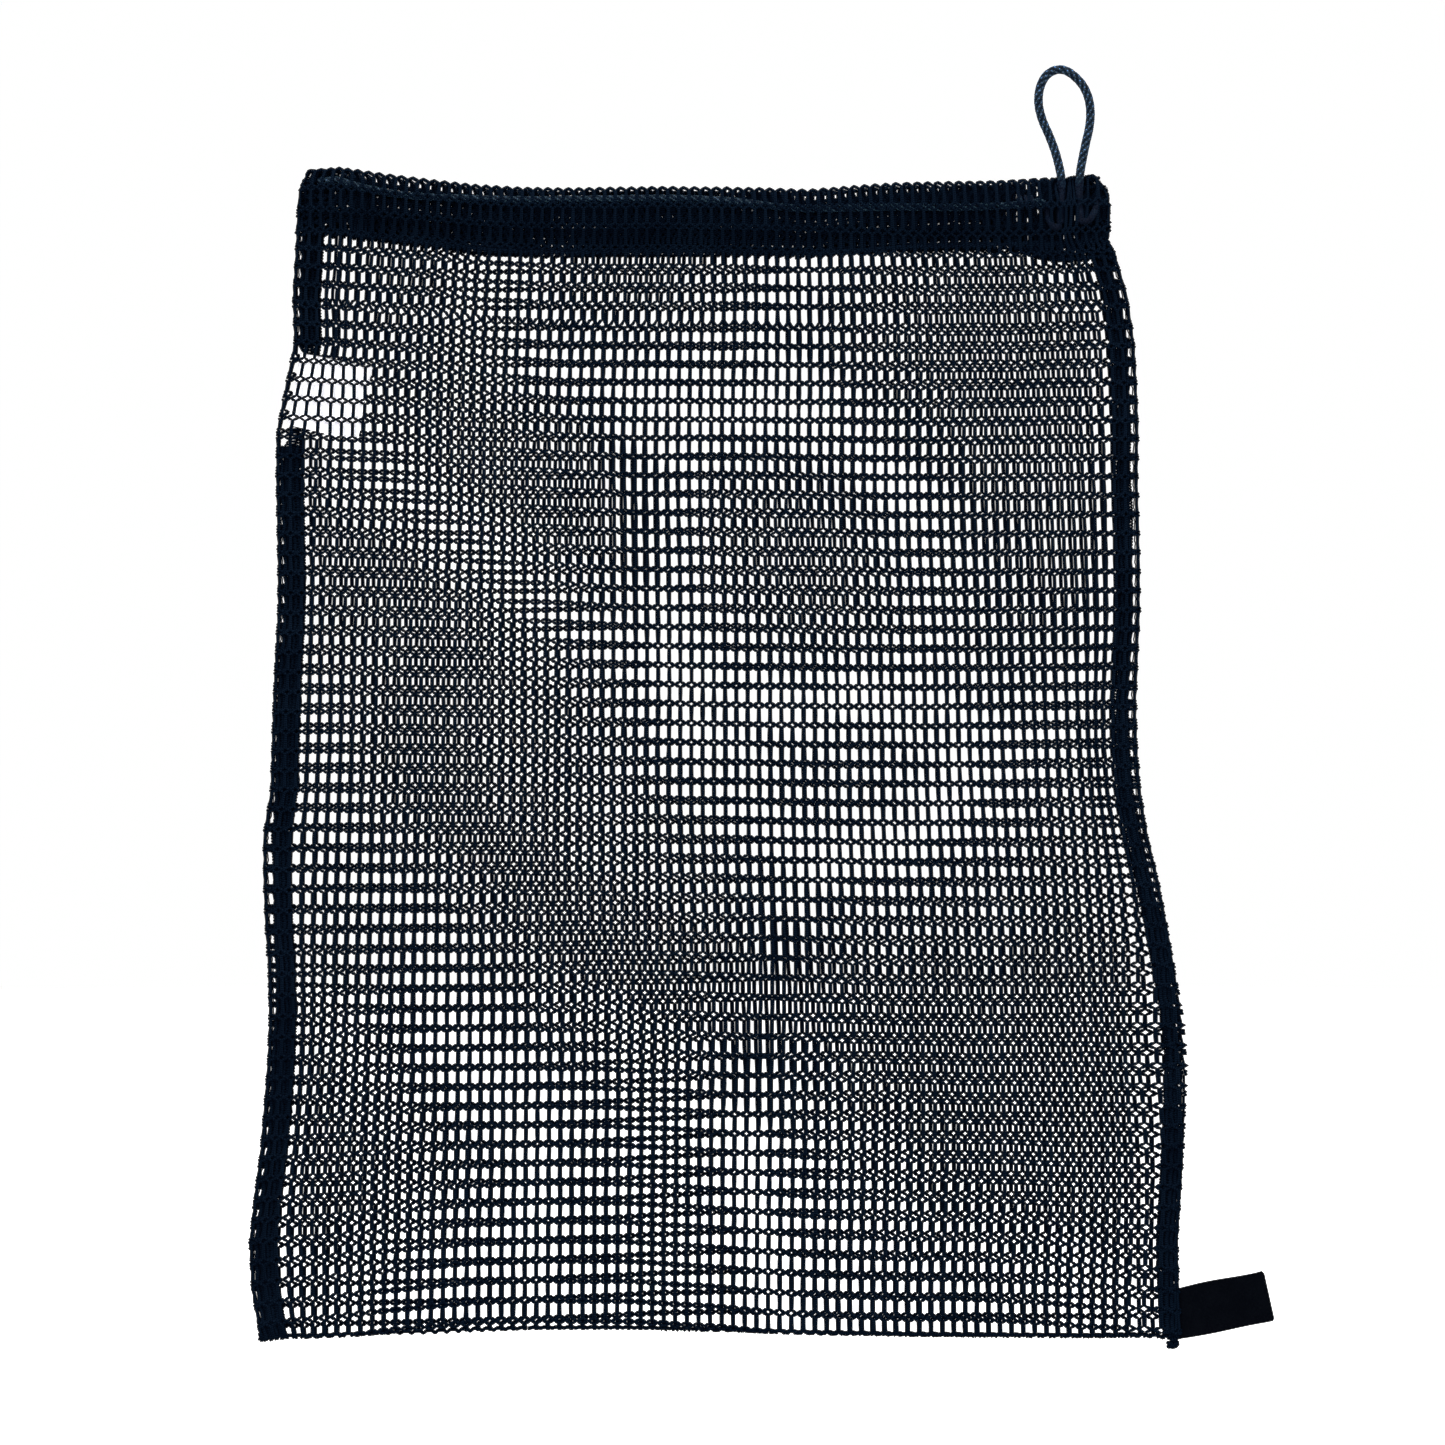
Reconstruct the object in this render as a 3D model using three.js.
// Mesh laundry bag: open warp-knit mesh folded at the bottom, with a seam down each side and a turned-down
// hem round the mouth that carries a braided drawcord. A loop of the cord stands up between the hems near
// the right corner. A folded ribbon tag is sewn into the right seam and a care label into the left one.
//
// Millimetres, +Z up. The bag hangs upright and almost flat: X runs across it, -Y is its front, and the
// origin is the middle of the underside of the bottom fold. Soft pieces are plain closed solids. The mesh
// is cut along its folds and stitch lines, so that each ply is a solid of its own.
import * as THREE from "three";

const { lerp, smoothstep } = THREE.MathUtils;

// ---- driving dimensions ----
const PLY = 1.2; // thickness of one ply of mesh
const GAP_BOTTOM = 1.0; // half the space between the panels at the bottom
const GAP_TOP = 3.2; // half the space between the panels at MOUTH_Z
const MOUTH_Z = 600;
const CLEAR = 0.4; // clearance between neighbouring solids
const FOLD_HEIGHT = 2.0; // height of the bottom fold
const PANEL_INSET = 2.5; // from the bag's side edge to the panel's

const HEM_DEPTH = 33; // from the mouth edge down
const HEM_THICK = 7.0; // outside thickness of the hem tube
const HEM_WALL = 1.1;
const HEM_INNER_Y = 3.4; // from the middle plane to the hem's inner face
const HEM_LEFT = -199;
const HEM_RIGHT = 194;
const THREAD = 0.7; // thickness of the hem stitching

const CORD_APOTHEM = 2.05; // half the thickness of the drawcord
const CORD_DROP = 12; // from the mouth edge down to the cord's axis
const CORD_Y = HEM_INNER_Y + HEM_THICK / 2; // from the middle plane to the cord's axis in a hem

// ---- outline of the bag ----
// Left side, bottom to top: [z, x]
const LEFT_EDGE = [
  [0, -239.4], [17, -243.1], [33, -244.7], [48, -245.7], [72, -243.1], [103, -238.9], [151, -235.2],
  [182, -234.7], [222, -237.3], [261, -238.4], [285, -234.2], [340, -232.6], [387, -230.0],
  [418, -230.5], [466, -231.5], [481, -230.5], [497, -226.8], [521, -221.6], [544, -222.6],
  [568, -221.0], [592, -220.0], [607, -217.9], [614, -214.7],
];
// Right side, bottom to top: [z, x]
const RIGHT_EDGE = [
  [0, 242.6], [19, 241.5], [48, 240.5], [88, 243.1], [119, 244.7], [143, 245.7], [166, 244.1],
  [182, 241.0], [206, 236.8], [229, 232.6], [253, 227.9], [269, 223.1], [292, 220.5], [324, 218.4],
  [355, 219.5], [387, 221.0], [418, 220.5], [450, 219.5], [481, 220.0], [513, 218.4], [537, 216.8],
  [552, 212.6], [568, 207.9], [576, 205.3], [592, 205.3], [602, 204.2], [609, 200.0],
];
// Mouth, left to right: [x, z]
const MOUTH_EDGE = [
  [-217, 611.6], [-201, 613.7], [-180, 610.6], [-159, 607.9], [-138, 605.3], [-117, 603.2],
  [-86, 602.2], [-33, 603.2], [19, 602.7], [40, 601.1], [72, 603.7], [103, 605.9], [135, 605.9],
  [156, 606.9], [177, 608.5], [198, 610.1], [205, 606.0],
];

// Value of a table of [at, value] rows, straight between rows and held constant beyond its ends.
function interpolate(rows, at) {
  if (at <= rows[0][0]) return rows[0][1];
  for (let i = 1; i < rows.length; i++) {
    const [start, startValue] = rows[i - 1];
    const [end, endValue] = rows[i];
    if (at <= end) return lerp(startValue, endValue, (at - start) / (end - start));
  }
  return rows[rows.length - 1][1];
}
const leftEdge = (z) => interpolate(LEFT_EDGE, z);
const rightEdge = (z) => interpolate(RIGHT_EDGE, z);
const mouthEdge = (x) => interpolate(MOUTH_EDGE, x);
const halfGap = (z) => lerp(GAP_BOTTOM, GAP_TOP, z / MOUTH_Z);

// ---- materials ----
const fabric = ({ color, roughness }) =>
  new THREE.MeshStandardMaterial({ color, roughness, metalness: 0 });
const meshNavy = fabric({ color: 0x0d1826, roughness: 0.8 });
const hemNavy = fabric({ color: 0x0c1624, roughness: 0.8 });
const cordNavy = fabric({ color: 0x1c2f45, roughness: 0.6 });
const threadNavy = fabric({ color: 0x101c2b, roughness: 0.65 });
const tagBlack = fabric({ color: 0x0a0a0d, roughness: 0.85 });
const labelWhite = fabric({ color: 0xf2f2f4, roughness: 0.55 });

// ---- shared builders ----
const bag = new THREE.Group();
function add(name, geometry, material) {
  const mesh = new THREE.Mesh(geometry, material);
  mesh.name = name;
  bag.add(mesh);
}

// Carries every vertex of a geometry to place(x, y, z).
function moveVertices(geometry, place) {
  const position = geometry.attributes.position;
  for (let i = 0; i < position.count; i++) {
    position.setXYZ(i, ...place(position.getX(i), position.getY(i), position.getZ(i)));
  }
  return geometry;
}

// A box cut into cells along X, Y and Z, whose vertices are carried to
// place(across, through, up), each from 0 to 1.
function bentBox([cellsX, cellsY, cellsZ], place) {
  const geometry = new THREE.BoxGeometry(1, 1, 1, cellsX, cellsY, cellsZ);
  moveVertices(geometry, (x, y, z) => place(x + 0.5, y + 0.5, z + 0.5));
  geometry.computeVertexNormals();
  return geometry;
}

// A shape extruded from 0 to 1, whose vertices are carried to place(shapeX, shapeY, along).
function bentExtrusion(shape, steps, place) {
  const geometry = new THREE.ExtrudeGeometry(shape, { depth: 1, steps, bevelEnabled: false });
  return moveVertices(geometry, place);
}

const toVectors = (points) => points.map(([x, y]) => new THREE.Vector2(x, y));

// Point of a four-cornered patch. Each of its rows, low and high, holds its two end points.
function patchPoint({ low, high }, along, up) {
  const pointOf = ([start, end]) => [0, 1].map((axis) => lerp(start[axis], end[axis], along));
  const lowPoint = pointOf(low);
  const highPoint = pointOf(high);
  return [lerp(lowPoint[0], highPoint[0], up), lerp(lowPoint[1], highPoint[1], up)];
}

const Y_AXIS = new THREE.Vector3(0, 1, 0);
const Z_AXIS = new THREE.Vector3(0, 0, 1);

// An eight-sided cord through a list of points, with mitred rings and closed ends.
// `normal` is the direction square to the plane the path lies in; two flats face along it.
function cord(points, apothem, normal) {
  const spans = points.length - 1;
  const centres = points.map((point) => new THREE.Vector3(...point));
  const directions = [];
  for (let i = 0; i < spans; i++) {
    directions.push(centres[i + 1].clone().sub(centres[i]).normalize());
  }
  const rings = centres.map((centre, i) => {
    const before = directions[Math.max(0, i - 1)];
    const after = directions[Math.min(spans - 1, i)];
    const along = before.clone().add(after).normalize();
    const side = along.clone().cross(normal).normalize();
    const up = side.clone().cross(along).normalize();
    return { centre, side, up, mitre: 1 / along.dot(after) };
  });
  const geometry = new THREE.CylinderGeometry(1, 1, 1, 8, spans, false, Math.PI / 8);
  const radius = apothem / Math.cos(Math.PI / 8);
  moveVertices(geometry, (x, y, z) => {
    const { centre, side, up, mitre } = rings[Math.round((y + 0.5) * spans)];
    return centre
      .clone()
      .addScaledVector(side, x * radius * mitre)
      .addScaledVector(up, z * radius)
      .toArray();
  });
  geometry.computeVertexNormals();
  return geometry;
}

// ---- panels: from the bottom fold up to the hem; facing is -1 for the front, 1 for the back ----
function panel(facing) {
  return bentBox([10, 1, 20], (across, through, up) => {
    let x = 0;
    let z = 0;
    // The top edge depends on x and the side edges on z, so a few rounds settle the two together.
    for (let round = 0; round < 4; round++) {
      z = lerp(FOLD_HEIGHT + CLEAR, mouthEdge(x) - HEM_DEPTH - CLEAR, up);
      x = lerp(leftEdge(z) + PANEL_INSET, rightEdge(z) - PANEL_INSET, across);
    }
    const outward = facing < 0 ? 1 - through : through;
    return [x, facing * (halfGap(z) + PLY * outward), z];
  });
}
add("front_panel", panel(-1), meshNavy);
add("back_panel", panel(1), meshNavy);

// ---- bottom fold: a shallow channel under the two panels ----
function bottomFold() {
  const left = -235;
  const right = 236;
  const chamfer = 0.7;
  const floorTop = 1.0;
  const outer = GAP_BOTTOM + PLY;
  const inner = outer - PLY;
  // Cross-section: [y, z]
  const section = [
    [-outer + chamfer, 0], [outer - chamfer, 0], [outer, chamfer], [outer, FOLD_HEIGHT],
    [inner, FOLD_HEIGHT], [inner, floorTop], [-inner, floorTop], [-inner, FOLD_HEIGHT],
    [-outer, FOLD_HEIGHT], [-outer, chamfer],
  ];
  const shape = new THREE.Shape(toVectors(section));
  return bentExtrusion(shape, 1, (y, z, along) => [lerp(left, right, along), y, z]);
}
add("bottom_fold", bottomFold(), meshNavy);

// ---- hems: flat tubes of turned mesh, open at both ends ----
// Rectangle with chamfered corners, centred across: [y, z below the mouth edge]
function chamferedSection(half, top, bottom, corner) {
  return toVectors([
    [-half + corner, bottom], [half - corner, bottom], [half, bottom + corner],
    [half, top - corner], [half - corner, top], [-half + corner, top],
    [-half, top - corner], [-half, bottom + corner],
  ]);
}

function hem(facing) {
  const outerCorner = 2;
  const innerCorner = 1.4;
  const half = HEM_THICK / 2;
  const shape = new THREE.Shape(chamferedSection(half, 0, -HEM_DEPTH, outerCorner));
  const hollow = chamferedSection(
    half - HEM_WALL, -HEM_WALL, -HEM_DEPTH + HEM_WALL, innerCorner,
  );
  shape.holes.push(new THREE.Path(hollow));
  const middle = facing * (HEM_INNER_Y + half);
  return bentExtrusion(shape, 16, (y, z, along) => {
    const x = lerp(HEM_LEFT, HEM_RIGHT, along);
    return [x, middle + y, mouthEdge(x) + z];
  });
}
add("front_hem", hem(-1), hemNavy);
add("back_hem", hem(1), hemNavy);

// ---- hem stitching: a line of thread along the outside of each hem ----
function hemStitching(facing) {
  const endInset = 1;
  const standOff = 0.3; // from the hem's outer face
  const rise = 3; // above the hem's lower edge
  const middle = facing * (HEM_INNER_Y + HEM_THICK + standOff + THREAD / 2);
  return bentBox([16, 1, 1], (across, through, up) => {
    const x = lerp(HEM_LEFT + endInset, HEM_RIGHT - endInset, across);
    const z = mouthEdge(x) - HEM_DEPTH + rise + THREAD * up;
    return [x, middle + THREAD * (through - 0.5), z];
  });
}
add("front_hem_stitching", hemStitching(-1), threadNavy);
add("back_hem_stitching", hemStitching(1), threadNavy);

// ---- drawcord ----
const cordZ = (x) => mouthEdge(x) - CORD_DROP;
const KNOT_X = 161;

// Inside the front hem, from the left corner to the knot.
function cordFrontRun() {
  const start = HEM_LEFT + 1.5;
  const end = KNOT_X - 7;
  const pitch = 25;
  const points = [];
  for (let x = start; x <= end - 1; x += pitch) points.push([x, -CORD_Y, cordZ(x)]);
  points.push([end, -CORD_Y, cordZ(end)]);
  return cord(points, CORD_APOTHEM, Z_AXIS);
}

// Round the left corner, through the back hem and round the right corner.
function cordBackRun() {
  const pitch = 26;
  const lastX = 190;
  const leftZ = cordZ(-206);
  const rightZ = cordZ(200);
  // Corner bends, in order along the cord: [x, y]
  const leftBend = [
    [-200.5, -CORD_Y], [-205, -CORD_Y + 0.6], [-208.5, -CORD_Y + 3.4],
    [-209.5, 0], [-208.5, CORD_Y - 3.4], [-205, CORD_Y - 0.6],
  ];
  const rightBend = [
    [193, CORD_Y], [197.5, CORD_Y - 0.6], [200.5, CORD_Y - 3.2],
    [201.2, 0], [200.5, -CORD_Y + 3.2], [198, -CORD_Y + 1.2],
  ];
  const points = leftBend.map(([x, y]) => [x, y, leftZ]);
  for (let x = HEM_LEFT; x < lastX; x += pitch) points.push([x, CORD_Y, cordZ(x)]);
  points.push(...rightBend.map(([x, y]) => [x, y, rightZ]));
  return cord(points, CORD_APOTHEM, Z_AXIS);
}

// The knot that joins the cord's ends, hidden in the front hem.
function cordKnot() {
  const radii = [6.2, 2.2, 4.6];
  const geometry = new THREE.SphereGeometry(1, 10, 8);
  geometry.scale(...radii);
  geometry.translate(KNOT_X, -CORD_Y, cordZ(KNOT_X));
  return geometry;
}

// Two legs up from between the hems, leaning forward above them, and a rounded top.
function cordLoop() {
  const lean = 6.5; // how far the top stands in front of the middle plane
  const leanFromZ = 610;
  const leanToZ = 622;
  // Up the left leg, over the top and down the right leg: [x, z]
  const path = [
    [180.4, 584], [180.3, 597], [180.1, 605.6], [179.6, 611.5], [176.6, 622.3], [173.5, 630.7],
    [169.8, 639.1], [168.1, 647.4], [168.9, 655.4], [171.9, 661.4], [176.7, 664.6], [181.7, 664.6],
    [187.0, 661.4], [191.7, 655.9], [194.5, 649.1], [195.3, 641.6], [194.5, 634.1], [192.9, 626.6],
    [191.1, 618.2], [190.0, 611.5], [189.2, 600], [189.0, 584],
  ];
  const points = path.map(([x, z]) => [x, -lean * smoothstep(z, leanFromZ, leanToZ), z]);
  return cord(points, CORD_APOTHEM, Y_AXIS);
}
add("cord_front_run", cordFrontRun(), cordNavy);
add("cord_back_run", cordBackRun(), cordNavy);
add("cord_knot", cordKnot(), cordNavy);
add("cord_loop", cordLoop(), cordNavy);

// ---- side seams: the allowance, the overlock thread on its cut edge, and the seam line ----
const SEAM_WIDTH = 13; // from the bag's side edge to the allowance's cut edge
const SEAM_LOW = 4;
const SEAM_TOP = 570; // just under the hem
const OVERLOCK_WIDTH = 2;

// Pieces of a seam; near and far are measured inwards from the bag's side edge.
const SEAM_PIECES = [
  { name: "seam_allowance", near: 1.0, far: SEAM_WIDTH, halfThick: 0.75, material: meshNavy },
  {
    name: "overlock_thread",
    near: SEAM_WIDTH + CLEAR,
    far: SEAM_WIDTH + CLEAR + OVERLOCK_WIDTH,
    halfThick: 0.8,
    material: threadNavy,
  },
  { name: "seam_stitching", near: -0.4, far: 0.5, halfThick: 0.6, material: threadNavy },
];
// inward is the direction along X from the edge into the bag.
const SIDES = [
  { side: "left", edge: leftEdge, inward: 1 },
  { side: "right", edge: rightEdge, inward: -1 },
];

function seamStrip({ edge, inward }, { near, far, halfThick }) {
  const from = Math.min(inward * near, inward * far);
  const to = Math.max(inward * near, inward * far);
  return bentBox([1, 1, 24], (across, through, up) => {
    const z = lerp(SEAM_LOW, SEAM_TOP, up);
    return [edge(z) + lerp(from, to, across), lerp(-halfThick, halfThick, through), z];
  });
}
for (const side of SIDES) {
  for (const piece of SEAM_PIECES) {
    add(`${side.side}_${piece.name}`, seamStrip(side, piece), piece.material);
  }
}

// ---- tails of overlock chain at the two bottom corners, in the middle plane: [x, z] ----
const LEFT_TAIL = [[-238.2, 1.2], [-239.6, -0.8], [-241.8, -1.9], [-243.6, -0.6], [-243.2, 1.2]];
const RIGHT_TAIL = [
  [238.4, 1.4], [240.8, -0.4], [241.6, -3.0], [239.6, -5.2], [236.8, -4.4], [236.6, -2.4],
];
const threadTail = (path, apothem) => cord(path.map(([x, z]) => [x, 0, z]), apothem, Y_AXIS);
add("left_thread_tail", threadTail(LEFT_TAIL, 0.75), threadNavy);
add("right_thread_tail", threadTail(RIGHT_TAIL, 0.8), threadNavy);

// ---- ribbon tag: a length of ribbon folded in half, its ends sewn into the right seam ----
// Lower and upper edges, each from the seam to the fold: [x, z]
const TAG_CORNERS = {
  low: [[244.4, -1.2], [292.6, 7.8]],
  high: [[244.4, 25.5], [287.0, 34.2]],
};

function idTag() {
  const ribbon = 0.5; // thickness of one ply
  const outerRadius = 0.75; // half the thickness of the folded tag
  const innerRadius = outerRadius - ribbon;
  const nominalLength = 46; // turns the fold's radii into shares of the tag's length
  const foldCentre = 1 - 0.016; // as a share of the tag's length
  // Half circle round the fold; side is -1 to start at the front, 1 to start at the back.
  const foldArc = (radius, side) =>
    [0, 1, 2, 3, 4].map((i) => {
      const angle = lerp((side * Math.PI) / 2, (-side * Math.PI) / 2, i / 4);
      return [foldCentre + (Math.cos(angle) * radius) / nominalLength, Math.sin(angle) * radius];
    });
  // Hairpin section: [share of the tag's length, y]
  const section = [
    [0, -outerRadius], ...foldArc(outerRadius, -1), [0, outerRadius],
    [0, innerRadius], ...foldArc(innerRadius, 1), [0, -innerRadius],
  ];
  return bentExtrusion(new THREE.Shape(toVectors(section)), 1, (along, y, up) => {
    const [x, z] = patchPoint(TAG_CORNERS, along, up);
    return [x, y, z];
  });
}
add("id_tag", idTag(), tagBlack);

// ---- care label: sewn into the left seam, lying between the panels ----
// Lower and upper edges, each from the seam inwards: [x, z]
const LABEL_CORNERS = {
  low: [[-226.6, 478.6], [-189.5, 470.9]],
  high: [[-219.4, 516.6], [-181.7, 509.8]],
};

function careLabel() {
  const frontY = -1.6;
  const backY = -1.3;
  return bentBox([3, 1, 3], (across, through, up) => {
    const [x, z] = patchPoint(LABEL_CORNERS, across, up);
    return [x, lerp(frontY, backY, through), z];
  });
}
add("care_label", careLabel(), labelWhite);

export default bag;
